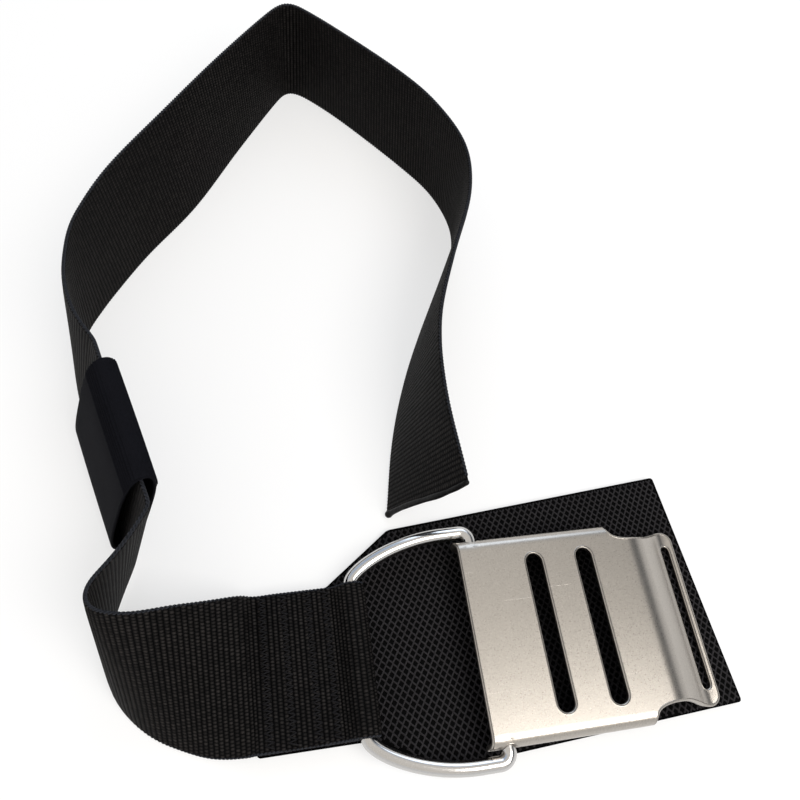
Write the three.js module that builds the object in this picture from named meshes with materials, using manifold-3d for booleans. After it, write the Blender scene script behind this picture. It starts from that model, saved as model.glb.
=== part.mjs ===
// Cam-buckle strap: 50 mm webbing sewn round a wire bail, a bent sheet buckle that turns on the bail's other
// bar, an elastic keeper that slides on the webbing, and a non-slip pad sewn under the buckle.
// Millimetres, +Z up. The origin is on the pad's underside, below the buckle's cam edge; +X runs towards the
// lever's tip and the strap's loop lies towards +Y.
import * as THREE from "three";
import { mergeVertices } from "three/addons/utils/BufferGeometryUtils.js";
import Module from "manifold-3d";

const wasm = await Module();
wasm.setup();

// ---- Driving dimensions -------------------------------------------------------------------------------

// Clearances
const restGap = 0.3; // between things that lie on each other
const pivotPlay = 0.3; // radial, wire in the flange holes
const bailSideGap = 1.5; // flange to the bail's arm
const slotEndGap = 2; // webbing edge to the end of a slot
const stitchGap = 0.3; // gap below a row of stitches

// Webbing
const webbingWidth = 50;
const webbingThickness = 2;
const tailLength = 35; // folded under, measured from the loop bar
const foldLeave = THREE.MathUtils.degToRad(140); // where the webbing leaves the wire, from level
const rowFromFold = [2.55, 8.65, 17.15, 24.65]; // rows of stitches, measured from the end of the fold

// Bail
const wireDiameter = 5;
const loopBarX = -40;
const pivotX = 5;
const barEndGap = 0.3; // webbing edge to the start of the bail's flare
const flareLong = 16; // how far the flare's curve reaches along x

// Buckle
const sheet = 2;
const flangeWall = 5.8; // slot's end to the flange's inner face
const bendInside = 1.5; // inside radius of the two long bends
const camReach = 5.2; // pivot axis to the cam edge
const flangeEndX = 56.5;
const flangeCorner = 3;
const slotWidth = 6;
const slotCentresX = [26.4, 45.5];
const leverStartX = 63.5; // where the flat plate ends
const leverAngle = THREE.MathUtils.degToRad(38);
const leverTopRadius = 12;
const leverFootRadius = 8;
const tipAngle = THREE.MathUtils.degToRad(6);
const tipLength = 2.6;
const endSlotWidth = 3.2;
const tipBar = 2.4; // metal between the end slot and the tip
const waistInset = 5.8; // waist of the lever, in from the flange's outer face
const tipInset = 3; // widest place near the tip, in from the flange's outer face
const tipCorner = 4;

// Pad: a rectangle turned a little, with a tongue that runs under the sewn webbing
const backingThickness = 0.75;
const coreThickness = 1.5;
const faceThickness = 0.75;
const tongueSide = 1; // the tongue's edge past the webbing's edge

// Keeper
const keeperLength = 48;
const keeperWall = 1.3;
const keeperEndGap = 0.8; // webbing edge to the inside of the sleeve's fold
const keeperHollow = 8; // inside, from face to face
const keeperOffset = 0.4; // from the webbing's middle to the sleeve's, towards the strap's loop
const keeperStart = 4; // from the start of the straight stretch
const keeperSeamPitch = 3;

// Thread
const threadWidth = 0.9;
const threadHeight = 0.6;
const zigzagHalf = 1.4;
const zigzagPitch = 1.6;

// ---- Sizes that follow ---------------------------------------------------------------------------------

const wireRadius = wireDiameter / 2;
const padTop = backingThickness + coreThickness + faceThickness;
const tailZ = padTop + restGap + webbingThickness / 2;
const foldRadius = wireRadius + restGap + webbingThickness / 2;
const loopBarZ = tailZ + foldRadius;
const topLayerZ = tailZ + webbingThickness + restGap;
const foldLeaveX = loopBarX + foldRadius * Math.cos(foldLeave);
const foldDrop = loopBarZ + foldRadius * Math.sin(foldLeave) - topLayerZ;
const foldEndX = foldLeaveX - foldDrop;
const slotLength = webbingWidth + 2 * slotEndGap;
const plateHalf = slotLength / 2 + flangeWall + sheet;
const loopBarHalf = webbingWidth / 2 + barEndGap;
const bailHalf = plateHalf + bailSideGap + wireRadius;
const camRise = wireRadius + pivotPlay + sheet; // pivot axis to the plate's top
const camRadius = Math.hypot(camReach, camRise);
const pivotZ = padTop + restGap + camRadius;
const plateTop = pivotZ + camRise;
const plateMid = plateTop - sheet / 2;
const flangeBottom = pivotZ - camRadius;
const keeperHalfLong = webbingWidth / 2 + keeperEndGap + keeperWall;
const keeperHalfShort = keeperHollow / 2 + keeperWall;

// ---- Strap route ---------------------------------------------------------------------------------------
// Each row: the lower edge's x, y, z, then how far the upper edge leans from it in x and y. The webbing's
// width sets how high the upper edge stands. The two straight rows are the keeper's run.

const flatLean = [0, webbingWidth];
const keeperRunFrom = [-116.4, 45.6];
const keeperRunTo = [-132.5, 99.2];
const keeperEdgeZ = 2.6;
const keeperLean = [13.5, 4.5];
const route = [
  [-80, -25, 4, 0, 48.6],
  [-90, -23.8, 1.6, 0, 45.2],
  [-99.5, -21, 0.8, 0, 39.5],
  [-109.3, -16, 0.6, -0.5, 32],
  [-117.6, -8, 0.5, -1.5, 25],
  [-122.6, 1.5, 0.5, 1.5, 19],
  [-123.8, 13, 0.6, 5, 12],
  [-122, 24, 1, 8.5, 6],
  [-118.8, 33, 2, 11.5, 4.5],
  [-115.4, 42.3, keeperEdgeZ, ...keeperLean],
  [...keeperRunFrom, keeperEdgeZ, ...keeperLean],
  [...keeperRunTo, keeperEdgeZ, ...keeperLean],
  [-133.5, 102.5, keeperEdgeZ, ...keeperLean],
  [-136.8, 113, 2.2, 10, 4],
  [-138.8, 123, 1.6, 8, 3.5],
  [-138.8, 133, 1, 6, 3],
  [-136, 143, 0.6, 3, 3],
  [-131, 152, 0.5, -1, 3],
  [-124.7, 162, 0.5, -4, 3],
  [-111.5, 181.8, 0.5, -6, 3.8],
  [-90.5, 208.8, 0.5, -7, 6.6],
  [-69, 245, 0.5, -4, 4],
  [-47, 280, 0.5, -1, 0],
  [-41, 284.5, 0.5, 0, -1],
  [-34, 281, 0.5, -1, -1.5],
  [-17, 264, 0.5, -3, 1],
  [9, 232, 0.5, -4, 6],
  [22.4, 211.4, 0.5, -4.6, 7.4],
  [28, 188, 0.5, -2.2, 6],
  [22.2, 165, 0.5, 0.6, 3],
  [7, 138, 0.5, 4, 1],
  [-6, 110, 0.5, 6, -2],
  [-15.8, 82, 0.6, 12, -4],
  [-22.8, 51, 0.8, 21, -5],
];

// ---- Materials -----------------------------------------------------------------------------------------

const finish = (color, roughness, metalness) => new THREE.MeshStandardMaterial({ color, roughness, metalness });
const steel = finish(0xb9b2a6, 0.35, 1);
const polished = finish(0xc9c9c9, 0.15, 1);
const nylon = finish(0x17161a, 0.8, 0);
const elastic = finish(0x0e0e13, 0.9, 0);
const mesh = finish(0x1b1b20, 0.7, 0);
const foam = finish(0x111114, 0.95, 0);
const rubber = finish(0x0d0d0e, 0.9, 0);
const thread = finish(0x1c1b1d, 0.8, 0);

const group = new THREE.Group();
function add(name, geometry, material) {
  const piece = new THREE.Mesh(geometry, material);
  piece.name = name;
  group.add(piece);
}

// ---- Solid helpers -------------------------------------------------------------------------------------

function toSolid(geometry) {
  const bare = geometry.index ? geometry.toNonIndexed() : geometry.clone();
  for (const name of ["normal", "uv"]) bare.deleteAttribute(name);
  const merged = mergeVertices(bare, 1e-4);
  return new wasm.Manifold(
    new wasm.Mesh({
      numProp: 3,
      vertProperties: new Float32Array(merged.attributes.position.array),
      triVerts: new Uint32Array(merged.index.array),
    }),
  );
}

function toGeometry(solid) {
  const found = solid.getMesh();
  const geometry = new THREE.BufferGeometry();
  geometry.setAttribute("position", new THREE.BufferAttribute(found.vertProperties, 3));
  geometry.setIndex(new THREE.BufferAttribute(found.triVerts, 1));
  geometry.computeVertexNormals();
  return geometry;
}

// An outline in x, y carried up from one height to another.
function extrudeUp(shape, from, to) {
  const settings = { depth: to - from, bevelEnabled: false, curveSegments: 16 };
  return new THREE.ExtrudeGeometry(shape, settings).translate(0, 0, from);
}

// An outline in x, z carried across, centred on y = 0.
function extrudeAcross(shape, width) {
  const settings = { depth: width, bevelEnabled: false, curveSegments: 24 };
  return new THREE.ExtrudeGeometry(shape, settings).rotateX(Math.PI / 2).translate(0, width / 2, 0);
}

// An outline in y, z carried along x.
function extrudeAlong(shape, from, to) {
  const settings = { depth: to - from, bevelEnabled: false, curveSegments: 8 };
  return new THREE.ExtrudeGeometry(shape, settings)
    .rotateX(Math.PI / 2)
    .rotateZ(Math.PI / 2)
    .translate(from, 0, 0);
}

// Moves each vertex of a geometry to place(u, v), which reads its uv pair.
function remap(geometry, place) {
  const { position, uv } = geometry.attributes;
  for (let i = 0; i < position.count; i += 1) {
    const at = place(uv.getX(i), uv.getY(i));
    position.setXYZ(i, at.x, at.y, at.z);
  }
  geometry.computeVertexNormals();
  return geometry;
}

// ---- Webbing -------------------------------------------------------------------------------------------

// The fold round the loop bar: along the pad, half a turn round the wire, and down to the top layer.
function foldStations() {
  const flat = (x, z) => [x, -webbingWidth / 2, z, ...flatLean];
  const stations = [];
  for (let x = loopBarX - tailLength; x < loopBarX; x += tailLength / 5) stations.push(flat(x, tailZ));
  for (let i = 0; i <= 12; i += 1) {
    const angle = THREE.MathUtils.lerp(-Math.PI / 2, foldLeave, i / 12);
    stations.push(flat(loopBarX + foldRadius * Math.cos(angle), loopBarZ + foldRadius * Math.sin(angle)));
  }
  stations.push(flat(foldLeaveX - foldDrop * 0.55, topLayerZ + foldDrop * 0.38));
  stations.push(flat(foldEndX, topLayerZ + foldDrop * 0.04));
  for (const share of [0.25, 0.5, 0.75, 1]) stations.push(flat(loopBarX - tailLength * share, topLayerZ));
  return stations;
}

// Lower edge and unit vector to the upper edge at each station, as two curves with the same parameter.
const stations = [...foldStations().filter((row, i, all) => i === 0 || row[0] !== all[i - 1][0]), ...route];
const leanOf = ([, , , dx, dy]) => {
  const rise = Math.sqrt(Math.max(webbingWidth ** 2 - dx ** 2 - dy ** 2, 0));
  return new THREE.Vector3(dx, dy, rise);
};
const lowerEdge = new THREE.CatmullRomCurve3(
  stations.map(([x, y, z]) => new THREE.Vector3(x, y, z)),
  false,
  "catmullrom",
  0.5,
);
const upperLean = new THREE.CatmullRomCurve3(stations.map(leanOf), false, "catmullrom", 0.5);

function webbingFrame(t) {
  const step = 1e-4;
  const middle = (at) => lowerEdge.getPoint(at).addScaledVector(upperLean.getPoint(at).normalize(), webbingWidth / 2);
  const across = upperLean.getPoint(t).normalize();
  const forward = middle(Math.min(t + step, 1)).sub(middle(Math.max(t - step, 0)));
  const outward = forward.cross(across).normalize();
  return { middle: middle(t), across, outward };
}

function makeWebbing() {
  const stepsPerStation = 3;
  const steps = (stations.length - 1) * stepsPerStation;
  const geometry = new THREE.BoxGeometry(1, 1, 1, steps, 2, 1);
  const position = geometry.attributes.position;
  for (let i = 0; i < position.count; i += 1) {
    const { middle, across, outward } = webbingFrame(position.getX(i) + 0.5);
    middle.addScaledVector(across, position.getY(i) * webbingWidth);
    middle.addScaledVector(outward, position.getZ(i) * webbingThickness);
    position.setXYZ(i, middle.x, middle.y, middle.z);
  }
  geometry.computeVertexNormals();
  add("webbing", geometry, nylon);
}

// ---- Stitching -----------------------------------------------------------------------------------------

// A zigzag of thread: a flat wavy bar, drawn along y about x = 0.
function zigzagShape(length, pitch) {
  const turns = Math.max(Math.floor(length / pitch), 2);
  const side = (offset) =>
    Array.from({ length: turns + 1 }, (_, i) => {
      const x = i % 2 ? zigzagHalf : -zigzagHalf;
      return new THREE.Vector2(x + offset, -length / 2 + (length * i) / turns);
    });
  return new THREE.Shape([...side(threadWidth / 2), ...side(-threadWidth / 2).reverse()]);
}

function makeStitchRows() {
  const bottom = topLayerZ + webbingThickness / 2 + stitchGap;
  rowFromFold.forEach((distance, i) => {
    const row = extrudeUp(zigzagShape(webbingWidth - 2, zigzagPitch), bottom, bottom + threadHeight);
    add(`stitch_row_${i + 1}`, row.translate(foldEndX - distance, 0, 0), thread);
  });
}

// ---- Bail ----------------------------------------------------------------------------------------------

// The bail's centre line, flat: the bar in the webbing's fold, flared arms and the pivot bar.
function bailOutline() {
  const cornerY = plateHalf + 0.5;
  const corner = bailHalf - cornerY;
  const armEndX = pivotX - corner;
  const flareX = pivotX - 10;
  const path = new THREE.Path();
  path.moveTo(loopBarX, 0);
  path.lineTo(loopBarX, -loopBarHalf);
  path.bezierCurveTo(loopBarX, -loopBarHalf - 4, loopBarX + flareLong, -bailHalf, flareX, -bailHalf);
  path.lineTo(armEndX, -bailHalf);
  path.absarc(armEndX, -cornerY, corner, -Math.PI / 2, 0, false);
  path.lineTo(pivotX, cornerY);
  path.absarc(armEndX, cornerY, corner, 0, Math.PI / 2, false);
  path.lineTo(flareX, bailHalf);
  path.bezierCurveTo(loopBarX + flareLong, bailHalf, loopBarX, loopBarHalf + 4, loopBarX, loopBarHalf);
  path.lineTo(loopBarX, 0);
  return path;
}

// A round wire carried round the outline, then tipped about the loop bar so that the pivot bar is at its height.
function makeBail() {
  const sides = 12;
  const steps = 120;
  const outline = bailOutline();
  const tip = Math.asin((pivotZ - loopBarZ) / (pivotX - loopBarX));
  const stretch = 1 / Math.cos(tip);
  const geometry = remap(new THREE.TorusGeometry(1, 0.5, sides, steps), (u, v) => {
    const centre = outline.getPointAt(u % 1);
    const along = outline.getTangentAt(u % 1);
    const angle = v * 2 * Math.PI;
    const out = wireRadius * Math.cos(angle);
    const reach = (centre.x - loopBarX) * stretch;
    return new THREE.Vector3(reach + along.y * out, centre.y - along.x * out, wireRadius * Math.sin(angle));
  });
  geometry.rotateY(-tip).translate(loopBarX, 0, loopBarZ);
  add("bail", geometry, polished);
}

// ---- Buckle --------------------------------------------------------------------------------------------

// Middle of the sheet from the flat plate down the lever to its tip, as x, z points with their slope.
function leverLine() {
  const points = [];
  let x = leverStartX;
  let z = plateMid;
  const push = (px, pz, angle) => points.push({ x: px, z: pz, angle });
  push(flangeEndX - 8, plateMid, 0);
  push(x, z, 0);
  const arcSteps = 8;
  for (let i = 1; i <= arcSteps; i += 1) {
    const angle = (leverAngle * i) / arcSteps;
    push(x + leverTopRadius * Math.sin(angle), z - leverTopRadius * (1 - Math.cos(angle)), -angle);
  }
  x += leverTopRadius * Math.sin(leverAngle);
  z -= leverTopRadius * (1 - Math.cos(leverAngle));
  const footDrop = leverFootRadius * (1 - Math.cos(leverAngle));
  const tipZ = padTop + restGap + sheet / 2;
  const run = (z - footDrop - tipZ) / Math.sin(leverAngle);
  x += run * Math.cos(leverAngle);
  z -= run * Math.sin(leverAngle);
  const footX = x + leverFootRadius * Math.sin(leverAngle);
  const footZ = z - footDrop + leverFootRadius;
  for (let i = 0; i <= arcSteps; i += 1) {
    const angle = THREE.MathUtils.lerp(-leverAngle, tipAngle, i / arcSteps);
    push(footX + leverFootRadius * Math.sin(angle), footZ - leverFootRadius * Math.cos(angle), angle);
  }
  const last = points[points.length - 1];
  push(last.x + tipLength * Math.cos(tipAngle), last.z + tipLength * Math.sin(tipAngle), tipAngle);
  return points;
}

function leverSolid(line) {
  const side = (offset) =>
    line.map(({ x, z, angle }) => new THREE.Vector2(x - offset * Math.sin(angle), z + offset * Math.cos(angle)));
  const profile = new THREE.Shape([...side(-sheet / 2), ...side(sheet / 2).reverse()]);
  return toSolid(extrudeAcross(profile, 2 * plateHalf));
}

// The lever seen from above: full width at the flanges, waisted, and wide again at the rounded tip.
function leverPlan(tipX) {
  const waist = plateHalf - waistInset;
  const wide = plateHalf - tipInset;
  const shape = new THREE.Shape();
  shape.moveTo(flangeEndX - 8, -plateHalf);
  shape.lineTo(flangeEndX, -plateHalf);
  shape.bezierCurveTo(flangeEndX + 1.5, -waist - 2.5, flangeEndX + 4, -waist, leverStartX + 4, -waist);
  shape.bezierCurveTo(leverStartX + 11, -waist, tipX - 9, -wide, tipX - tipCorner, -wide);
  shape.absarc(tipX - tipCorner, -wide + tipCorner, tipCorner, -Math.PI / 2, 0, false);
  shape.absarc(tipX - tipCorner, wide - tipCorner, tipCorner, 0, Math.PI / 2, false);
  shape.bezierCurveTo(tipX - 9, wide, leverStartX + 11, waist, leverStartX + 4, waist);
  shape.bezierCurveTo(flangeEndX + 4, waist, flangeEndX + 1.5, waist + 2.5, flangeEndX, plateHalf);
  shape.lineTo(flangeEndX - 8, plateHalf);
  shape.closePath();
  return toSolid(extrudeUp(shape, 0, plateTop + 1));
}

// The plate and its two flanges: a U section carried along x, trimmed to the side view.
function channelSolid() {
  const outside = bendInside + sheet;
  const inner = plateHalf - sheet;
  const under = plateTop - sheet;
  const section = new THREE.Shape();
  section.moveTo(-plateHalf, flangeBottom);
  section.lineTo(-inner, flangeBottom);
  section.lineTo(-inner, under - bendInside);
  section.absarc(-inner + bendInside, under - bendInside, bendInside, Math.PI, Math.PI / 2, true);
  section.absarc(inner - bendInside, under - bendInside, bendInside, Math.PI / 2, 0, true);
  section.lineTo(inner, flangeBottom);
  section.lineTo(plateHalf, flangeBottom);
  section.absarc(plateHalf - outside, plateTop - outside, outside, 0, Math.PI / 2, false);
  section.absarc(-plateHalf + outside, plateTop - outside, outside, Math.PI / 2, Math.PI, false);
  section.closePath();
  const side = new THREE.Shape();
  side.moveTo(pivotX, flangeBottom);
  side.lineTo(flangeEndX - flangeCorner, flangeBottom);
  side.absarc(flangeEndX - flangeCorner, flangeBottom + flangeCorner, flangeCorner, -Math.PI / 2, 0, false);
  side.lineTo(flangeEndX, plateTop + 1);
  side.lineTo(pivotX - camReach, plateTop + 1);
  side.absarc(pivotX, pivotZ, camRadius, Math.PI - Math.atan2(camRise, camReach), 1.5 * Math.PI, false);
  side.closePath();
  const whole = toSolid(extrudeAlong(section, pivotX - camRadius - 1, flangeEndX));
  return whole.intersect(toSolid(extrudeAcross(side, 2 * plateHalf + 2)));
}

function slotSolid(x, width, length) {
  const shape = new THREE.Shape();
  const radius = width / 2;
  shape.absarc(x, length / 2 - radius, radius, 0, Math.PI, false);
  shape.absarc(x, -length / 2 + radius, radius, Math.PI, 2 * Math.PI, false);
  shape.closePath();
  return toSolid(extrudeUp(shape, 0, plateTop + 1));
}

function pivotHoles() {
  const bore = new THREE.CylinderGeometry(wireRadius + pivotPlay, wireRadius + pivotPlay, 2 * plateHalf + 2, 32);
  return toSolid(bore.translate(pivotX, 0, pivotZ));
}

function makeBuckle() {
  const line = leverLine();
  const tipX = line[line.length - 1].x;
  const endSlotX = tipX - tipBar - endSlotWidth / 2;
  const lever = leverSolid(line).intersect(leverPlan(tipX));
  let plate = channelSolid().add(lever);
  for (const x of slotCentresX) plate = plate.subtract(slotSolid(x, slotWidth, slotLength));
  plate = plate.subtract(slotSolid(endSlotX, endSlotWidth, slotLength)).subtract(pivotHoles());
  add("buckle_plate", toGeometry(plate), steel);
}

// ---- Pad -----------------------------------------------------------------------------------------------

function padShape() {
  const tongueHalf = webbingWidth / 2 + tongueSide;
  const tongueX = loopBarX - tailLength - tongueSide;
  return new THREE.Shape(
    [
      [tongueX, -tongueHalf],
      [-37, -tongueHalf],
      [-16, -38],
      [95.5, -31.7],
      [88.2, 55.6],
      [-23.5, 45.2],
      [-49, tongueHalf],
      [tongueX, tongueHalf],
    ].map(([x, y]) => new THREE.Vector2(x, y)),
  );
}

function makePad() {
  const layers = [
    ["pad_backing", backingThickness, rubber],
    ["pad_core", coreThickness, foam],
    ["pad_face", faceThickness, mesh],
  ];
  let bottom = 0;
  for (const [name, thickness, material] of layers) {
    add(name, extrudeUp(padShape(), bottom, bottom + thickness), material);
    bottom += thickness;
  }
}

// ---- Keeper --------------------------------------------------------------------------------------------

// A sleeve of oval section round the webbing's straight stretch, and the seam on its inner face.
function makeKeeper() {
  const start = new THREE.Vector3(...keeperRunFrom, keeperEdgeZ);
  const along = new THREE.Vector3(...keeperRunTo, keeperEdgeZ).sub(start).normalize();
  const across = leanOf([0, 0, 0, ...keeperLean]).normalize();
  const outward = along.clone().cross(across).normalize();
  const centre = start
    .addScaledVector(across, webbingWidth / 2)
    .addScaledVector(outward, keeperOffset)
    .addScaledVector(along, keeperStart);
  const place = (long, short, far) =>
    centre.clone().addScaledVector(across, long).addScaledVector(outward, short).addScaledVector(along, far);
  const walls = [
    [0, 0],
    [0, keeperLength],
    [keeperWall, keeperLength],
    [keeperWall, 0],
  ];
  const steps = 40;
  const sleeve = remap(new THREE.TorusGeometry(1, 0.5, walls.length, steps), (u, v) => {
    const [inset, far] = walls[Math.round(v * walls.length) % walls.length];
    const angle = 2 * Math.PI * (u + 0.5 / steps);
    const round = keeperHalfShort - inset;
    const end = Math.sign(Math.cos(angle)) * (keeperHalfLong - keeperHalfShort);
    return place(end + round * Math.cos(angle), round * Math.sin(angle), far);
  });
  add("keeper", sleeve, elastic);

  const seam = extrudeUp(zigzagShape(keeperLength - 4, keeperSeamPitch), 0, threadHeight);
  const turn = new THREE.Matrix4().makeBasis(along.clone().cross(outward).normalize(), along, outward);
  turn.setPosition(place(0, keeperHalfShort + stitchGap, keeperLength / 2));
  add("keeper_seam", seam.applyMatrix4(turn), thread);
}

makeWebbing();
makeStitchRows();
makeBail();
makeBuckle();
makePad();
makeKeeper();

export default group;
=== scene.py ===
"""Cam-buckle webbing strap: woven strap, wire bail, bent steel buckle, elastic keeper and mesh-faced pad."""

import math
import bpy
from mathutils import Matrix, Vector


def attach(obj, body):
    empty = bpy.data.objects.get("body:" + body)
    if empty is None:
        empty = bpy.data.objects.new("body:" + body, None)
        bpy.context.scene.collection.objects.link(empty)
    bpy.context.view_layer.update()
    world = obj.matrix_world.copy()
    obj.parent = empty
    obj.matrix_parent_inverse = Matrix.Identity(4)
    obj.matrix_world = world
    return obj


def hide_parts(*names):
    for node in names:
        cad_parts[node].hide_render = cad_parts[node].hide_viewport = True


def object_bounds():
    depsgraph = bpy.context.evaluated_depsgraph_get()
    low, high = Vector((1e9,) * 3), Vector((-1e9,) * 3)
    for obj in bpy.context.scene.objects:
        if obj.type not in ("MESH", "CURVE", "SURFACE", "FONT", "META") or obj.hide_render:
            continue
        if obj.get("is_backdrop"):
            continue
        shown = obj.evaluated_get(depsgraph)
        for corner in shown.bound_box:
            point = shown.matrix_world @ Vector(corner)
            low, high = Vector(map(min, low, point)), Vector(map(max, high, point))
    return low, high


bl_info = {
    "name": "Cam-buckle strap",
    "version": (1, 0, 0),
    "blender": (4, 5, 0),
    "location": "View3D > Sidebar > Strap",
    "description": "Builds a webbing strap with a cam buckle, keeper and non-slip pad round its packed frame",
    "category": "Add Mesh",
}

import bmesh
import bpy
import numpy as np
from bpy.props import FloatProperty, FloatVectorProperty, PointerProperty
from bpy.types import Operator, Panel, PropertyGroup
from mathutils import Matrix
from mathutils.geometry import delaunay_2d_cdt

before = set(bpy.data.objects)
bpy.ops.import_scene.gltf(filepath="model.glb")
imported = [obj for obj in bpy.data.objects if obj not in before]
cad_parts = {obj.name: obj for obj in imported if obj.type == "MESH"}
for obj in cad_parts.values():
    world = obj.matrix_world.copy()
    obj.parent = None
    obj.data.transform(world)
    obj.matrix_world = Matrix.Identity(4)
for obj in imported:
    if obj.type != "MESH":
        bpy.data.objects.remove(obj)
CAD_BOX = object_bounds()

MM = 0.001
SEED = 7

# ---- Sizes shared with the frame, in millimetres -------------------------------------------------------

HALF_WEB = 25.0
HALF_THICK = 1.0
PAD_TOP = 3.0
LOOP_BAR_X = -40.0
LOOP_BAR_Z = 8.1
FOLD_RADIUS = 3.8
TAIL_LENGTH = 35.0
TAIL_Z = 4.3
TOP_LAYER_Z = 6.6
ROWS_FROM_FOLD = (2.55, 8.65, 17.15, 24.65)
FOLD_END_X = -46.854
WIRE_RADIUS = 2.5
PIVOT_X = 5.0
PIVOT_Z = 10.377
PLATE_TOP = 15.177
PLATE_HALF = 34.8
CAM_RADIUS = 7.077
FLANGE_BOTTOM = 3.3
FLANGE_END_X = 56.5
SHEET = 2.0
BEND_MIDDLE = 2.5
LEVER_START_X = 63.5
LEVER_ANGLE = math.radians(38)
LEVER_TOP_RADIUS = 12.0
LEVER_FOOT_RADIUS = 8.0
TIP_ANGLE = math.radians(6)
TIP_LENGTH = 2.6
TIP_BAR = 2.4
BAIL_HALF = 38.8
KEEPER_FROM = (-116.4, 45.6)
KEEPER_TO = (-132.5, 99.2)
KEEPER_EDGE_Z = 2.6
KEEPER_LEAN = (13.5, 4.5)
KEEPER_START = 4.0
KEEPER_LENGTH = 48.0
KEEPER_OFFSET = 0.4

# ---- Sizes of the visual model alone, in millimetres ---------------------------------------------------

EDGE_ROUND = 0.9
FACE_COLUMNS = 13
SEAM_DIP = 0.35
END_WAVE = 0.9
SEAL_RADIUS = 1.1
FOLD_TURN = 140
SEAM_HALF = 24.0
ZIGZAG_HALF = 1.4
ZIGZAG_SINK = 0.12
SEWN_FROM_X = -76
SMOOTH_STEP = 0.5
SMOOTH_REACH = 24
SMOOTH_SPREAD = 7
WAIST_INSET = 5.8
TIP_INSET = 3.0
TIP_CORNER = 4.0
FLANGE_CORNER = 3.0
PIVOT_PLAY = 0.3
SLOT_CENTRES = (26.4, 45.5)
SLOT_RADIUS = 3.0
SLOT_HALF = 27.0
END_SLOT_RADIUS = 1.6
END_SLOT_HALF = 26.0
KEEPER_HALF_LONG = 27.2
KEEPER_HALF_OPEN = 5.9
KEEPER_SLANT = 1.8
KEEPER_RIM = 0.5
LATTICE_MARGIN = 0.5

# Camera: yaw, pitch and roll in radians, place in metres.
CAMERA_YAW, CAMERA_PITCH, CAMERA_ROLL = 0.37307, 1.07111, -0.25645
CAMERA_PLACE = (-0.064214, -0.037813, 0.273272)

# Rows of the strap after its sewn end: lower edge x, y, z and the upper edge's lean in x and y.
ROUTE = (
    (-80, -25, 4, 0, 48.6),
    (-90, -23.8, 1.6, 0, 45.2),
    (-98.8, -20.2, 0.8, 0, 39.5),
    (-108.2, -15.2, 0.6, -0.5, 32),
    (-116.4, -7.4, 0.5, -1.5, 25),
    (-121.9, 1.7, 0.5, 1.5, 19),
    (-123.8, 13, 0.6, 5, 12),
    (-122, 24, 1, 8.5, 6),
    (-118.8, 33, 2, 11.5, 4.5),
    (-115.4, 42.3, KEEPER_EDGE_Z, *KEEPER_LEAN),
    (*KEEPER_FROM, KEEPER_EDGE_Z, *KEEPER_LEAN),
    (*KEEPER_TO, KEEPER_EDGE_Z, *KEEPER_LEAN),
    (-133.5, 102.5, KEEPER_EDGE_Z, *KEEPER_LEAN),
    (-136.2, 113, 2.2, 10, 4),
    (-137.6, 123, 1.6, 8, 3.5),
    (-137.6, 133, 1, 6.4, 3),
    (-135.2, 143, 0.6, 4, 2.4),
    (-130.6, 152, 0.5, 0.2, 2),
    (-124.7, 162, 0.5, -2.8, 2.2),
    (-111.5, 181.8, 0.5, -6, 3.8),
    (-90.5, 208.8, 0.5, -7, 6.6),
    (-69, 245, 0.5, -4, 4),
    (-47, 280, 0.5, -1, 0),
    (-41, 284.5, 0.5, 0, -1),
    (-34, 281, 0.5, -1, -1.5),
    (-17, 264, 0.5, -3, 1),
    (9, 232, 0.5, -4, 6),
    (22.4, 211.4, 0.5, -4.6, 7.4),
    (28, 188, 0.5, -2.2, 6),
    (22.2, 165, 0.5, 0.6, 3),
    (7, 138, 0.5, 4, 1),
    (-6, 110, 0.5, 6, -2),
    (-15.5, 82, 0.6, 12.7, -4),
    (-22.2, 51, 0.8, 21.6, -5),
)

PAD_OUTLINE = (
    (-76, -26), (-37, -26), (-16, -38), (95.5, -31.7),
    (88.2, 55.6), (-23.5, 45.2), (-49, 26), (-76, 26),
)


# ---- Settings ------------------------------------------------------------------------------------------

def length(name, description, default, low=0.0, high=1.0):
    """A size in metres, given here in millimetres."""
    return FloatProperty(
        name=name, description=description, default=default * MM, min=low * MM, max=high * MM,
        unit="LENGTH", precision=5,
    )


def colour(name, description, default):
    """A linear red, green and blue."""
    return FloatVectorProperty(
        name=name, description=description, default=default, min=0, max=1, size=3, subtype="COLOR",
    )


def share(name, description, default):
    """A number from 0 to 1."""
    return FloatProperty(name=name, description=description, default=default, min=0, max=1)


def watts(name, description, default):
    """A light's power."""
    return FloatProperty(name=name, description=description, default=default, min=0, unit="POWER")


class StrapSettings(PropertyGroup):
    """Weave, edge and thread of the webbing."""

    rib_pitch: length("Rib pitch", "From one crosswise rib of the weave to the next", 1.75, 0.5, 5)
    rib_height: length("Rib height", "How far a rib stands above the groove beside it", 0.2, 0, 0.5)
    bead_pitch: length("Bead pitch", "From one yarn to the next along a rib", 1.15, 0.4, 4)
    edge_strand: length("Edge strand", "Radius of one of the two strands of the woven edge", 0.3, 0.1, 1)
    edge_twist: length("Edge twist", "Length of one turn of the woven edge's strands", 2.6, 1, 10)
    thread: length("Thread", "Radius of the sewing thread", 0.3, 0.1, 1)
    stitch: length("Stitch", "Length along the seam of one leg of the zigzag", 0.9, 0.4, 4)
    # Painted light: the groove colour is painted shade between the yarns; the yarn colour is reached only on
    # the yarn tops, as a painted highlight.
    groove_shade: colour("Valley colour", "Between the yarns", (0.0006, 0.0006, 0.0008))
    yarn: colour("Yarn colour", "On top of the yarns", (0.023, 0.0205, 0.0195))
    edge: colour("Edge colour", "Strands of the woven edge", (0.022, 0.024, 0.03))
    sewing: colour("Thread colour", "Sewing thread", (0.009, 0.0085, 0.0095))


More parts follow.
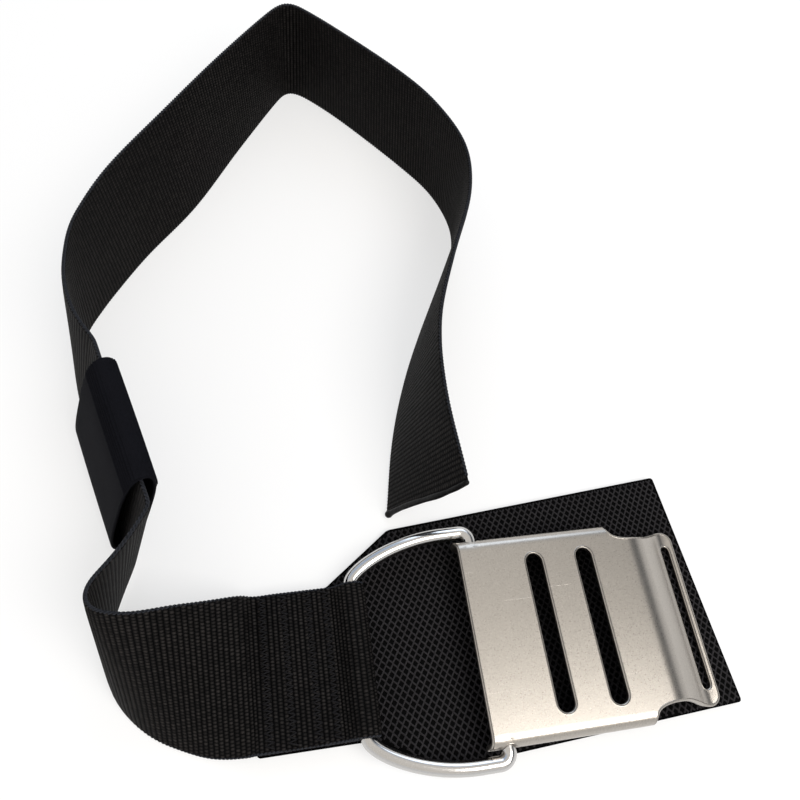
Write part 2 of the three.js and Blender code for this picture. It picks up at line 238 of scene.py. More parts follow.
class SteelSettings(PropertyGroup):
    """Rims and finishes of the buckle and the bail."""

    rim: length("Rim radius", "Rounding of the sheet's cut edges", 0.6, 0.1, 0.95)
    plate: colour("Plate colour", "Tumbled satin sheet", (0.38, 0.354, 0.322))
    wire: colour("Wire colour", "Polished wire", (0.5, 0.49, 0.48))
    plate_roughness: share("Plate roughness", "Blur of the sheet's reflections", 0.3)
    wire_roughness: share("Wire roughness", "Blur of the wire's reflections", 0.14)


class PadSettings(PropertyGroup):
    """Lattice and layers of the pad."""

    cell_width: length("Cell width", "Width of a diamond of the lattice", 2.55, 1, 10)
    cell_length: length("Cell length", "Length of a diamond of the lattice", 3.6, 1, 10)
    strand: length("Strand width", "Width of a strand of the lattice", 0.84, 0.2, 3)
    strand_height: length("Strand height", "How far a strand stands above the floor of a cell", 0.4, 0.1, 2)
    lattice: colour("Lattice colour", "Raised strands", (0.031, 0.029, 0.031))
    cell: colour("Cell colour", "Floor of the cells", (0.0005, 0.0005, 0.0006))
    foam: colour("Foam colour", "Middle layer", (0.005, 0.005, 0.006))
    grip: colour("Grip colour", "Underside layer", (0.007, 0.007, 0.008))


class KeeperSettings(PropertyGroup):
    """Elastic sleeve."""

    wall: length("Wall", "Thickness of the elastic", 1.1, 0.4, 3)
    rib_pitch: length("Cord pitch", "From one lengthwise cord of the elastic to the next", 1.15, 0.3, 4)
    rib_height: length("Cord height", "How far a cord stands out near the upper fold", 0.5, 0, 0.8)
    elastic: colour("Elastic colour", "Knitted face", (0.0062, 0.0064, 0.0088))


class StageSettings(PropertyGroup):
    """Floor, light and camera."""

    floor: colour("Floor colour", "Plain pale floor", (0.9, 0.9, 0.9))
    key_watts: watts("Key light", "Power of the large soft light overhead", 4.2)
    fill_watts: watts("Fill light", "Power of the soft light beyond the strap's loop", 1.5)
    lens: FloatProperty(
        name="Focal length", description="Camera lens", default=0.03357, min=0.01, max=0.3, precision=5,
        unit="CAMERA",
    )


# ---- Mesh helpers --------------------------------------------------------------------------------------

def grid_faces(rows, columns, close_rows=False, close_columns=False):
    """Quads between neighbouring rows and columns of a grid; a closed way joins its last to its first."""
    r = np.arange(rows if close_rows else rows - 1)[:, None]
    c = np.arange(columns if close_columns else columns - 1)[None, :]
    here, there = r * columns, (r + 1) % rows * columns
    beside = (c + 1) % columns
    return np.stack([here + c, here + beside, there + beside, there + c], axis=-1).reshape(-1, 4)


def grid_uv(u, v):
    """Corner coordinates for grid_faces: u per row and v per column, one longer where that way is closed."""
    u, v = np.meshgrid(u, v, indexing="ij")
    uv = np.stack([u, v], axis=-1)
    corners = [uv[:-1, :-1], uv[:-1, 1:], uv[1:, 1:], uv[1:, :-1]]
    return np.stack(corners, axis=2).reshape(-1, 2)


def facing_out(points, faces):
    """True if a closed shell's signed volume, the sum of its triangles' triple products, is not negative."""
    volume = 0.0
    for group in faces:
        first = points[group[:, 0]]
        for k in range(1, group.shape[1] - 1):
            beside = np.cross(points[group[:, k]], points[group[:, k + 1]])
            volume += np.einsum("ij,ij->", first, beside)
    return volume >= 0


def new_piece(name, points, faces, uv=None):
    """An object from points in millimetres and arrays of faces, each array with its own number of sides."""
    points = np.asarray(points, dtype=float).reshape(-1, 3)
    sides = np.concatenate([np.full(len(group), group.shape[1]) for group in faces])
    if not facing_out(points, faces):
        faces = [group[:, ::-1] for group in faces]
        if uv is not None:
            ends = np.cumsum(sides)
            order = np.repeat(ends - 1 + ends - sides, sides) - np.arange(ends[-1])
            uv = uv[order]
    mesh = bpy.data.meshes.new(name)
    corners = np.concatenate([group.ravel() for group in faces]).astype(np.int32)
    mesh.vertices.add(len(points))
    mesh.vertices.foreach_set("co", (points * MM).astype(np.float32).ravel())
    mesh.loops.add(len(corners))
    mesh.loops.foreach_set("vertex_index", corners)
    mesh.polygons.add(len(sides))
    mesh.polygons.foreach_set("loop_start", (np.cumsum(sides) - sides).astype(np.int32))
    mesh.polygons.foreach_set("use_smooth", np.ones(len(sides), dtype=bool))
    if uv is not None:
        mesh.uv_layers.new(name="Surface").uv.foreach_set("vector", (uv * MM).astype(np.float32).ravel())
    mesh.update(calc_edges=True)
    if mesh.validate():
        raise RuntimeError(f"{name} has a face that is not sound")
    piece = bpy.data.objects.new(name, mesh)
    bpy.context.scene.collection.objects.link(piece)
    return piece


def unit(vectors):
    """Vectors divided by their lengths."""
    return vectors / np.linalg.norm(vectors, axis=-1, keepdims=True)


def along(path, closed=False):
    """Unit tangents: the difference of each point's two neighbours, made unit length."""
    if closed:
        return unit(np.roll(path, -1, axis=0) - np.roll(path, 1, axis=0))
    return unit(np.gradient(path, axis=0))


def arc_length(path):
    """Distance from the first point, added up along the path."""
    steps = np.linalg.norm(np.diff(path, axis=0), axis=1)
    return np.concatenate([[0], np.cumsum(steps)])


def at_distance(path, distances, s=None):
    """Rows of values at given distances, interpolated; s is each row's distance, if not the path's own."""
    s = arc_length(path) if s is None else s
    return np.stack([np.interp(distances, s, path[:, k]) for k in range(path.shape[1])], axis=1)


def tube(name, paths, radius, sides, up, closed=False):
    """A circle carried along each path: path + radius (side cos a + up sin a), with round closed ends.

    up is one vector or one per point; side is at right angles to it and to the path.
    """
    points, faces, uvs, start = [], [], [], 0
    for path in paths:
        path = np.asarray(path, dtype=float)
        forward = along(path, closed)
        side = unit(np.cross(forward, np.broadcast_to(up, path.shape)))
        over = np.cross(side, forward)
        r = np.broadcast_to(radius, len(path)).astype(float)
        if not closed:
            ends = np.arange(4) / 4 * np.pi / 2
            lead = path[0] - forward[0] * r[0] * np.cos(ends)[:, None]
            tail = path[-1] + forward[-1] * r[-1] * np.cos(ends[::-1])[:, None]
            caps = np.maximum(np.sin(ends), 0.02)
            path = np.concatenate([lead, path, tail])
            side = np.concatenate([np.repeat(side[:1], 4, 0), side, np.repeat(side[-1:], 4, 0)])
            over = np.concatenate([np.repeat(over[:1], 4, 0), over, np.repeat(over[-1:], 4, 0)])
            r = np.concatenate([r[0] * caps, r, r[-1] * caps[::-1]])
        angle = np.arange(sides) * 2 * np.pi / sides
        ring = side[:, None] * np.cos(angle)[:, None] + over[:, None] * np.sin(angle)[:, None]
        points.append((path[:, None] + ring * r[:, None, None]).reshape(-1, 3))
        faces.append(grid_faces(len(path), sides, closed, True) + start)
        s = arc_length(np.concatenate([path, path[:1]]) if closed else path)
        uvs.append(grid_uv(s, np.arange(sides + 1) * 2 * np.pi * np.mean(r) / sides))
        if not closed:
            first = np.arange(sides)[None, ::-1] + start
            last = np.arange(sides)[None] + start + (len(path) - 1) * sides
            faces.append(np.concatenate([first, last]))
            uvs.append(np.zeros((2 * sides, 2)))
        start += len(path) * sides
    return new_piece(name, np.concatenate(points), faces, np.concatenate(uvs))


def bezier(p0, p1, p2, p3, count):
    """Cubic curve: four points, each weighted by its term of ((1 - t) + t) cubed, without the last."""
    t = np.linspace(0, 1, count, endpoint=False)[:, None]
    p0, p1, p2, p3 = (np.asarray(p, dtype=float) for p in (p0, p1, p2, p3))
    return (1 - t) ** 3 * p0 + 3 * (1 - t) ** 2 * t * p1 + 3 * (1 - t) * t**2 * p2 + t**3 * p3


def arc(x, y, radius, begin, end, count):
    """Points of a circle about x, y between two angles in degrees, without the last."""
    a = np.radians(np.linspace(begin, end, count, endpoint=False))
    return np.stack([x + radius * np.cos(a), y + radius * np.sin(a)], axis=1)


def line(p0, p1, count):
    """Evenly spaced points from one point towards another, without the last."""
    t = np.linspace(0, 1, count, endpoint=False)[:, None]
    return np.asarray(p0, dtype=float) * (1 - t) + np.asarray(p1, dtype=float) * t


def spaced(loop, step):
    """A closed outline resampled to points about one step apart."""
    ring = np.concatenate([loop, loop[:1]])
    total = arc_length(ring)[-1]
    return at_distance(ring, np.linspace(0, total, max(int(total / step), 12), endpoint=False))


def inside(points, loop):
    """True where a point is inside an outline, by counting the edges to its right."""
    x, y = points[:, 0][:, None], points[:, 1][:, None]
    ax, ay = loop[:, 0], loop[:, 1]
    bx, by = np.roll(ax, -1), np.roll(ay, -1)
    crosses = (ay > y) != (by > y)
    where = ax + (y - ay) * (bx - ax) / np.where(by == ay, 1e-12, by - ay)
    return (crosses & (x < where)).sum(axis=1) % 2 == 1


def signed_area(loop):
    """Twice the area of an outline, negative where it runs clockwise."""
    return np.sum(loop[:, 0] * np.roll(loop[:, 1], -1) - np.roll(loop[:, 0], -1) * loop[:, 1])


def shrunk(loop, distance):
    """An outline moved inwards: each point goes the distance along the inner normal there."""
    tangent = along(loop, closed=True)
    normal = np.stack([-tangent[:, 1], tangent[:, 0]], axis=1) * np.sign(signed_area(loop))
    return loop + normal * distance


def rounded_sheet(name, outer, holes, thick, rim, lay, lines):
    """A flat sheet with holes and rounded rims, laid in space.

    The two faces are triangulated inside the outlines moved in by the rim radius; each rim is a half-round
    section carried along its outline: inset = rim - rim sin a, height = thick/2 - rim + rim cos a.
    lay turns flat x, y and height into space. lines are the x and y of the points inside.
    """
    quarter = np.linspace(0, np.pi / 2, 5)
    inset = np.concatenate([rim - rim * np.sin(quarter), (rim - rim * np.sin(quarter))[::-1]])
    height = thick / 2 - rim + rim * np.cos(quarter)
    height = np.concatenate([height, -height[::-1]])
    loops = [outer, *holes]
    signs = [1] + [-1] * len(holes)
    edges_at = [shrunk(loop, rim * sign) for loop, sign in zip(loops, signs)]
    filler = np.stack(np.meshgrid(*lines, indexing="ij"), axis=-1).reshape(-1, 2)
    guard = [shrunk(loop, (rim + 0.3) * sign) for loop, sign in zip(loops, signs)]
    clear = [shrunk(loop, (rim + 0.8) * sign) for loop, sign in zip(loops, signs)]
    keep = inside(filler, clear[0])
    for ring in clear[1:]:
        keep &= ~inside(filler, ring)
    flat = np.concatenate([*edges_at, *guard, filler[keep]])
    starts = np.cumsum([0] + [len(loop) for loop in edges_at])
    rims = [
        np.stack([np.arange(len(loop)), np.roll(np.arange(len(loop)), -1)], axis=1) + begin
        for loop, begin in zip(edges_at, starts)
    ]
    made = delaunay_2d_cdt(flat.tolist(), np.concatenate(rims).tolist(), [], 0, 1e-7)
    flat = np.array(made[0])
    triangles = np.array(made[2])
    middle = flat[triangles].mean(axis=1)
    keep = inside(middle, edges_at[0])
    for ring in edges_at[1:]:
        keep &= ~inside(middle, ring)
    triangles = triangles[keep]
    top = lay(flat[:, 0], flat[:, 1], np.full(len(flat), thick / 2))
    bottom = lay(flat[:, 0], flat[:, 1], np.full(len(flat), -thick / 2))
    points, start = [top, bottom], 2 * len(flat)
    faces = [triangles, triangles[:, ::-1] + len(flat)]
    for loop, sign in zip(loops, signs):
        section = np.stack([shrunk(loop, d * sign) for d in inset], axis=1)
        tall = np.broadcast_to(height, section.shape[:2])
        points.append(lay(section[..., 0].ravel(), section[..., 1].ravel(), tall.ravel()))
        strip = grid_faces(len(loop), len(inset), True, False)
        faces.append((strip if signed_area(loop) * sign < 0 else strip[:, ::-1]) + start)
        start += section.shape[0] * section.shape[1]
    threes = np.concatenate([f for f in faces if f.shape[1] == 3])
    piece = new_piece(name, np.concatenate(points), [threes, *(f for f in faces if f.shape[1] == 4)])
    merge(piece, 0.002)
    return piece


def merge(piece, distance):
    """Joins points that lie on each other."""
    work = bmesh.new()
    work.from_mesh(piece.data)
    bmesh.ops.remove_doubles(work, verts=work.verts, dist=distance * MM)
    work.to_mesh(piece.data)
    work.free()


def wander(count, size, spread, rng):
    """Smooth random values: white noise averaged over a bell curve, scaled to a given size."""
    reach = int(3 * spread)
    bell = np.exp(-0.5 * (np.arange(-reach, reach + 1) / spread) ** 2)
    noise = np.convolve(rng.standard_normal(count + 2 * reach), bell, mode="valid")
    return size * noise / np.sqrt(np.sum(bell**2))


# ---- Material helpers ----------------------------------------------------------------------------------

class Shader:
    """A new material with a short way to add and join its nodes."""

    def __init__(self, name):
        self.material = bpy.data.materials.new(name)
        self.material.use_nodes = True
        self.nodes = self.material.node_tree.nodes
        self.links = self.material.node_tree.links
        self.surface = self.nodes["Principled BSDF"]

    def join(self, source, socket):
        if isinstance(source, bpy.types.NodeSocket):
            self.links.new(source, socket)
        else:
            socket.default_value = source

    def add(self, kind, inputs=(), **settings):
        made = self.nodes.new(kind)
        for key, value in settings.items():
            setattr(made, key, value)
        for key, value in dict(inputs).items():
            self.join(value, made.inputs[key])
        return made

    def math(self, operation, first, second=0.0, third=0.0):
        made = self.add("ShaderNodeMath", {0: first, 1: second, 2: third}, operation=operation)
        return made.outputs[0]

    def place(self, source="Object"):
        return self.add("ShaderNodeTexCoord").outputs[source]

    def parts(self, vector):
        return self.add("ShaderNodeSeparateXYZ", {0: vector}).outputs

    def stretched(self, vector, scale):
        return self.add("ShaderNodeMapping", {"Vector": vector, "Scale": scale}).outputs[0]

    def noise(self, vector, scale, detail=2.0, roughness=0.5):
        made = self.add(
            "ShaderNodeTexNoise",
            {"Vector": vector, "Scale": scale, "Detail": detail, "Roughness": roughness},
        )
        return made.outputs["Fac"]

    def between(self, value, low, high, out_low=0.0, out_high=1.0):
        made = self.add(
            "ShaderNodeMapRange",
            {"Value": value, "From Min": low, "From Max": high, "To Min": out_low, "To Max": out_high},
        )
        return made.outputs[0]

    def spread(self, value, low=0.0, high=1.0):
        """A noise value's usual run, 0.3 to 0.7, mapped to another."""
        return self.between(value, 0.3, 0.7, low, high)

    def times(self, first, *others):
        """Product of all values."""
        for other in others:
            first = self.math("MULTIPLY", first, other)
        return first

    def mix(self, factor, first, second):
        made = self.add("ShaderNodeMix", data_type="RGBA")
        for key, value in (("Factor_Float", factor), ("A_Color", first), ("B_Color", second)):
            socket = next(s for s in made.inputs if s.identifier == key)
            self.join(value if key == "Factor_Float" else (*value, 1), socket)
        return next(s for s in made.outputs if s.identifier == "Result_Color")

    def bump(self, height, distance, strength=1.0, normal=None):
        inputs = {"Height": height, "Distance": distance * MM, "Strength": strength}
        if normal is not None:
            inputs["Normal"] = normal
        return self.add("ShaderNodeBump", inputs).outputs[0]

    def finish(self, **sockets):
        for key, value in sockets.items():
            socket = self.surface.inputs[key.replace("_", " ")]
            self.join(value, socket)
        return self.material


def scaled(colour_value, by):
    """A colour made darker or lighter, at most full white."""
    return tuple(min(by * c, 1.0) for c in colour_value)


def dress(piece, material, slot):
    """Gives a piece its only material; slot is not used."""
    piece.data.materials.clear()
    piece.data.materials.append(material)


def round_profile(shader, phase):
    """Height of a row of round ridges: the square root of 1 - (2 f - 1) squared, f the phase's fraction."""
    part = shader.math("FRACT", phase)
    off = shader.math("MULTIPLY_ADD", part, 2.0, -1.0)
    return shader.math("SQRT", shader.math("SUBTRACT", 1.0, shader.math("MULTIPLY", off, off)))


def webbing_material(settings):
    """Crosswise ribs of staggered yarns: height = rib (0.25 + 0.75 bead), each from round_profile. The colour
    follows the height to the fourth power: painted shade in the grooves, painted highlight on the yarn tops.
    """
    s = Shader("webbing_weave")
    spot = s.place("UV")
    u, v, _ = s.parts(spot)
    rib_phase = s.math("DIVIDE", u, settings.rib_pitch)
    row = s.math("FLOOR", rib_phase)
    shift = s.times(s.math("MODULO", row, 2.0), 0.5)
    bead_phase = s.math("ADD", s.math("DIVIDE", v, settings.bead_pitch), shift)
    waver = s.noise(spot, 260, 1)
    bead_phase = s.math("MULTIPLY_ADD", waver, 0.5, bead_phase)
    rib = round_profile(s, rib_phase)
    bead = round_profile(s, bead_phase)
    height = s.times(rib, s.math("MULTIPLY_ADD", bead, 0.75, 0.25))
    cell = s.add("ShaderNodeCombineXYZ", {0: row, 1: s.math("FLOOR", bead_phase), 2: 0.0}).outputs[0]
    chance = s.add("ShaderNodeTexWhiteNoise", {"Vector": cell}, noise_dimensions="3D").outputs["Value"]
    fibre = s.noise(s.stretched(spot, (900, 5200, 1)), 1.0, 2)
    broad = s.noise(s.place("Object"), 22, 2)
    # Painted light: the height to the fourth power darkens the grooves to near black (painted shade) and
    # brightens the yarn tops (painted highlight); the other factors vary at random.
    tone = s.times(
        s.math("POWER", height, 4.0), s.between(chance, 0, 1, 0.5, 1.25),
        s.spread(fibre, 0.75, 1.15), s.spread(broad, 0.8, 1.15),
    )
    base = s.mix(tone, settings.groove_shade, settings.yarn)
    normal = s.bump(height, 0.32, 1.0, s.bump(fibre, 0.05, 0.6))
    rough = s.spread(fibre, 0.5, 0.66)
    return s.finish(Base_Color=base, Roughness=rough, Normal=normal, Specular_IOR_Level=0.05)


def strand_material(name, colour_value, scale, roughness):
    """Twisted yarn: slanting fine fibres across and along the strand, with painted shade in the grooves
    between the plies.
    """
    s = Shader(name)
    spot = s.place("UV")
    u, v, _ = s.parts(spot)
    slant = s.math("ADD", s.math("DIVIDE", u, 0.9 * MM), s.math("DIVIDE", v, 0.6 * MM))
    ply = round_profile(s, slant)
    grain = s.noise(s.place("Object"), scale, 2)
    # Painted shade: where the ply profile is low, between the plies, the colour falls to about 0.4 of the
    # yarn's.
    tone = s.times(s.between(ply, 0, 1, 0.35, 1.1), s.spread(grain, 0.6, 1.3))
    base = s.mix(tone, scaled(colour_value, 0.12), colour_value)
    normal = s.bump(ply, 0.1, 0.7)
    return s.finish(Base_Color=base, Roughness=roughness, Normal=normal, Specular_IOR_Level=0.08)


def sealed_material():
    """Melted nylon: smooth, nearly black, with shallow lumps."""
    s = Shader("sealed_nylon")
    spot = s.place("Object")
    lumps = s.noise(spot, 700, 2)
    base = s.mix(lumps, (0.0012, 0.0012, 0.0014), (0.004, 0.0036, 0.004))
    return s.finish(Base_Color=base, Roughness=0.42, Normal=s.bump(lumps, 0.2, 0.8), Specular_IOR_Level=0.12)


def steel_material(name, colour_value, roughness, painted_glint_and_grain, scratch):
    """Stainless steel: fine speckle, sparse bright dots of painted highlight added to the colour, and long
    thin scratches from a stretched noise.
    """
    s = Shader(name)
    spot = s.place("Object")
    speckle = s.noise(spot, 2400, 3, 0.7)
    wave = s.noise(spot, 35, 1)
    # Painted highlight: sparse bright dots, added to the colour below, stand in for tiny points of reflected
    # light on the grain.
    painted_glints = s.times(s.between(s.noise(spot, 2100, 2, 0.6), 0.6, 0.67), s.between(wave, 0.35, 0.6))
    lines = s.between(s.noise(s.stretched(spot, (14, 2200, 300)), 1.0, 2, 0.5), 0.68, 0.71)
    patch = s.between(s.noise(s.stretched(spot, (30, 90, 90)), 1.0, 1), 0.5, 0.62)
    marks = s.times(lines, patch, scratch)
    tone = s.math("ADD", s.spread(speckle, 0.66, 0.84), s.times(painted_glints, 0.6 * painted_glint_and_grain))
    tone = s.math("ADD", tone, s.times(marks, 0.35))
    base = s.mix(tone, scaled(colour_value, 0.55), scaled(colour_value, 1.25))
    rough = s.spread(speckle, roughness * 0.85, roughness * 1.15)
    normal = s.bump(speckle, 0.008 * painted_glint_and_grain, 0.8, s.bump(marks, 0.02, 0.6))
    return s.finish(Base_Color=base, Metallic=1.0, Roughness=rough, Normal=normal)


def rubber_material(name, colour_value, scale, distance, roughness):
    """Matt rubber or foam: two sizes of grain."""
    s = Shader(name)
    spot = s.place("Object")
    grain = s.noise(spot, scale, 3, 0.65)
    broad = s.noise(spot, scale / 12, 2)
    tone = s.times(s.spread(grain), s.spread(broad, 0.75, 1.1))
    base = s.mix(tone, scaled(colour_value, 0.45), colour_value)
    normal = s.bump(grain, distance, 0.7)
    return s.finish(Base_Color=base, Roughness=roughness, Normal=normal, Specular_IOR_Level=0.04)


def elastic_material(settings):
    """Fine knit: short stitches in staggered courses round the sleeve, with painted shade between the
    stitches.
    """
    s = Shader("keeper_elastic")
    spot = s.place("UV")
    u, v, _ = s.parts(spot)
    course = s.math("DIVIDE", u, 0.42 * MM)
    row = s.math("MODULO", s.math("FLOOR", course), 2.0)
    wale = s.math("ADD", s.math("DIVIDE", v, 0.62 * MM), s.times(row, 0.5))
    knit = s.times(round_profile(s, course), round_profile(s, wale))
    grain = s.noise(s.place("Object"), 1500, 2)
    broad = s.noise(s.place("Object"), 60, 2)
    # Painted shade: where the knit profile is low, between the stitches, the colour falls to about half the
    # elastic's.
    tone = s.times(s.between(knit, 0, 1, 0.45, 1.1), s.spread(grain, 0.7, 1.25), s.spread(broad, 0.85, 1.1))
    base = s.mix(tone, scaled(settings.elastic, 0.2), settings.elastic)
    return s.finish(Base_Color=base, Roughness=0.8, Normal=s.bump(knit, 0.1, 0.8), Specular_IOR_Level=0.03)


# ---- Strap ---------------------------------------------------------------------------------------------

def fold_rows():
    """Sewn end: under layer, 90 + FOLD_TURN degrees about the loop bar, and down to the upper layer."""
    tail = [(LOOP_BAR_X - TAIL_LENGTH * (1 - share), TAIL_Z) for share in (0, 0.2, 0.4, 0.6, 0.8)]
    turn = np.radians(np.linspace(-90, FOLD_TURN, 13))
    bend_x, bend_z = LOOP_BAR_X + FOLD_RADIUS * np.cos(turn), LOOP_BAR_Z + FOLD_RADIUS * np.sin(turn)
    bend = np.stack([bend_x, bend_z], axis=1)
    drop = bend_z[-1] - TOP_LAYER_Z
    down = [
        (bend_x[-1] - run * drop, TOP_LAYER_Z + left * drop) for run, left in ((0.55, 0.38), (1, 0.04))
    ]
    top = [(LOOP_BAR_X - TAIL_LENGTH * share, TOP_LAYER_Z) for share in (0.25, 0.5, 0.75, 1)]
    xz = np.array([*tail, *bend, *down, *top])
    rows = np.zeros((len(xz), 5))
    rows[:, 0], rows[:, 2] = xz[:, 0], xz[:, 1]
    rows[:, 1], rows[:, 4] = -HALF_WEB, 2 * HALF_WEB
    return rows


def catmull_rom(knots, per_span):
    """Smooth curve through its knots: each span's end slopes are half the way between the knots beside."""
    ends = np.concatenate([2 * knots[:1] - knots[1:2], knots, 2 * knots[-1:] - knots[-2:-1]])
    t = np.linspace(0, 1, per_span, endpoint=False)[None, :, None]
    a, b, c, d = (ends[k:len(ends) - 3 + k, None] for k in range(4))
    span = 0.5 * (2 * b + (c - a) * t + (2 * a - 5 * b + 4 * c - d) * t**2 + (3 * b - a - 3 * c + d) * t**3)
    return np.concatenate([span.reshape(-1, knots.shape[1]), knots[-1:]])


def strap_line(step):
    """Middle, across and outward unit vectors of the webbing every step along it, and the distance.

    The rows become two smooth curves, the lower edge and the lean; past the sewn end both are averaged over
    a bell curve, so that the strap bends evenly. outward = forward x across.
    """
    rows = np.concatenate([fold_rows(), np.array(ROUTE, dtype=float)])
    rise = np.sqrt(np.maximum((2 * HALF_WEB) ** 2 - rows[:, 3] ** 2 - rows[:, 4] ** 2, 0))
    lean = np.stack([rows[:, 3], rows[:, 4], rise], axis=1)
    curve = catmull_rom(np.concatenate([rows[:, :3], lean], axis=1), 30)
    across = unit(curve[:, 3:])
    both = np.concatenate([curve[:, :3] + HALF_WEB * across, across], axis=1)
    s = arc_length(both[:, :3])
    fine = np.arange(0, s[-1], SMOOTH_STEP)
    both = at_distance(both, fine, s)
    reach = SMOOTH_REACH
    bell = np.exp(-0.5 * (np.arange(-reach, reach + 1) / SMOOTH_SPREAD) ** 2)
    bell /= bell.sum()
    padded = np.concatenate([
        2 * both[:1] - both[reach:0:-1], both, 2 * both[-1:] - both[-2:-reach - 2:-1],
    ])
    even = np.stack([np.convolve(padded[:, k], bell, mode="valid") for k in range(6)], axis=1)
    sewn = fine[np.argmax((fine > 60) & (both[:, 0] < SEWN_FROM_X))]
    share = np.clip((fine - sewn) / 12, 0, 1)[:, None]
    both = both * (1 - share) + even * share
    s = arc_length(both[:, :3])
    both = at_distance(both, np.arange(0, s[-1], step), s)
    middle, across = both[:, :3], unit(both[:, 3:])
    outward = unit(np.cross(along(middle), across))
    return middle, across, outward, np.arange(len(middle)) * step


def seam_dips(s, middle):
    """Depth of the grooves that the seams press in: a bell curve about each row of stitches."""
    upper = (s > 45) & (s < 110)
    dips = np.zeros(len(s))
    for distance in ROWS_FROM_FOLD:
        where = np.interp(distance - FOLD_END_X, -middle[upper, 0], s[upper])
        dips += np.exp(-(((s - where) / 1.3) ** 2))
    return dips


def end_wave(share):
    """How far the melted cut runs forward across the width: a sine of 2.4 times the share of the width."""
    return END_WAVE * np.sin(share * 2.4)


class STRAP_OT_webbing(Operator):
    """Build the woven strap with its ribs, woven edges and sealed end"""

    bl_idname = "strap.webbing"
    bl_label = "Webbing"

    def execute(self, context):
        settings = context.scene.strap_settings
        rng = np.random.default_rng(SEED)
        pitch = settings.rib_pitch / MM
        middle, across, outward, s = strap_line(pitch / 5)
        total = s[-1]

        # Section: two ribbed faces and two rounded edges. Ribs are a raised cosine of the distance; they
        # fade at the edges and in the melted end.
        face = np.linspace(-1, 1, FACE_COLUMNS) * (HALF_WEB - EDGE_ROUND)
        turn = np.radians([-60, -20, 20, 60])
        edge_a = HALF_WEB - EDGE_ROUND + EDGE_ROUND * np.cos(turn)
        edge_h = 0.85 * np.sin(turn)
        a = np.concatenate([face, edge_a[::-1], face[::-1], -edge_a])
        columns_of = (FACE_COLUMNS, len(turn), FACE_COLUMNS, len(turn))
        top, under = np.repeat([1.0, 0, 0, 0], columns_of), np.repeat([0, 0, 1.0, 0], columns_of)
        flat_face = np.zeros(FACE_COLUMNS)
        edge = np.concatenate([flat_face, edge_h[::-1], flat_face, -edge_h[::-1]])
        ribs = 0.5 - 0.5 * np.cos(2 * np.pi * s / pitch)
        sealed = np.clip((total - s) / 2.5, 0, 1)
        height = HALF_THICK - settings.rib_height / MM * (1 - ribs * sealed)
        dip = SEAM_DIP * seam_dips(s, middle)
        fade = 1 - 0.25 * np.abs(a / HALF_WEB) ** 8
        h = top * ((height - dip)[:, None] * fade) - under * (height[:, None] * fade) + edge
        sewn = np.clip(1 - np.abs(s - 75) / 45, 0, 1)
        drift = wander(len(s), 0.12, 12, rng) * (1 + 2 * sewn)
        wide = a * (1 + drift[:, None] / HALF_WEB * np.sign(a) * 0.5)
        tip = (np.clip(1 - (total - s) / 6, 0, 1) ** 2)[:, None] * end_wave(a / HALF_WEB)
        forward = along(middle)
        points = (
            middle[:, None] + across[:, None] * wide[..., None]
            + outward[:, None] * h[..., None] + forward[:, None] * tip[..., None]
        )
        rows, columns = len(s), len(a)
        ring = np.arange(columns)
        ends = np.stack([ring[::-1], ring + (rows - 1) * columns])
        faces = [grid_faces(rows, columns, False, True), ends]
        uv = grid_uv(s, np.append(a, a[0]))
        uv = np.concatenate([uv, np.zeros((2 * columns, 2))])
        strap = new_piece("strap_webbing", points, faces, uv)
        dress(strap, webbing_material(settings), "webbing")
        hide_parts("webbing")
        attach(strap, "belt")

        # Woven edges: two strands wound round each edge, offset = r (1.25 outward cos t + 0.8 across sin t).
        r = settings.edge_strand / MM
        paths = []
        fine = np.arange(0.5, total - 1.5, settings.edge_twist / MM / 9)
        m, c, o = (at_distance(v, fine, s) for v in (middle, across, outward))
        for side in (-1, 1):
            for start in (0, np.pi):
                turn = 2 * np.pi * fine / (settings.edge_twist / MM) + start
                sideways = side * (HALF_WEB - 0.1) + r * np.sin(turn) * 0.8
                paths.append(m + (c * sideways[:, None] + o * (1.25 * r * np.cos(turn))[:, None]))
        edges = tube("strap_edges", paths, r, 5, unit(o))
        dress(edges, strand_material("edge_yarn", tuple(settings.edge), 900, 0.55), "webbing")
        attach(edges, "belt")

        # Melted end: a lumpy bead across the cut, thicker at its lower corner.
        t = np.linspace(-1, 1, 60)
        end = middle[-1] + across[-1] * (t * (HALF_WEB - 0.8))[:, None] + forward[-1] * end_wave(t)[:, None]
        bead = SEAL_RADIUS + wander(60, 0.07, 2.5, rng) + 0.35 * np.exp(-(((t + 1) / 0.06) ** 2))
        seal = tube("strap_sealed_end", [end], bead, 12, outward[-1])
        dress(seal, sealed_material(), "webbing")
        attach(seal, "belt")
        return {"FINISHED"}


def zigzag(begin, end, sideways, over, half, leg, rng, lift):
    """Thread of a seam: a triangle wave between its ends, each leg arched: lift (sin of its share - 0.35)."""
    run = end - begin
    total = np.linalg.norm(run)
    legs = int(total / leg)
    t = np.linspace(0, legs, legs * 6 + 1)
    swing = 2 * np.abs((t / 2) % 1 * 2 - 1) - 1
    knots = np.arange(legs + 1)
    jitter = np.interp(t, knots, rng.uniform(-0.22, 0.22, legs + 1))
    reach = np.interp(t, knots, rng.uniform(0.8, 1.12, legs + 1))
    place = begin + run * ((t + jitter * np.clip(np.minimum(t, legs - t), 0, 1)) / legs)[:, None]
    arch = lift * (np.abs(np.sin(np.pi * t)) - 0.35)
    return place + sideways * (half * swing * reach)[:, None] + over * arch[:, None]


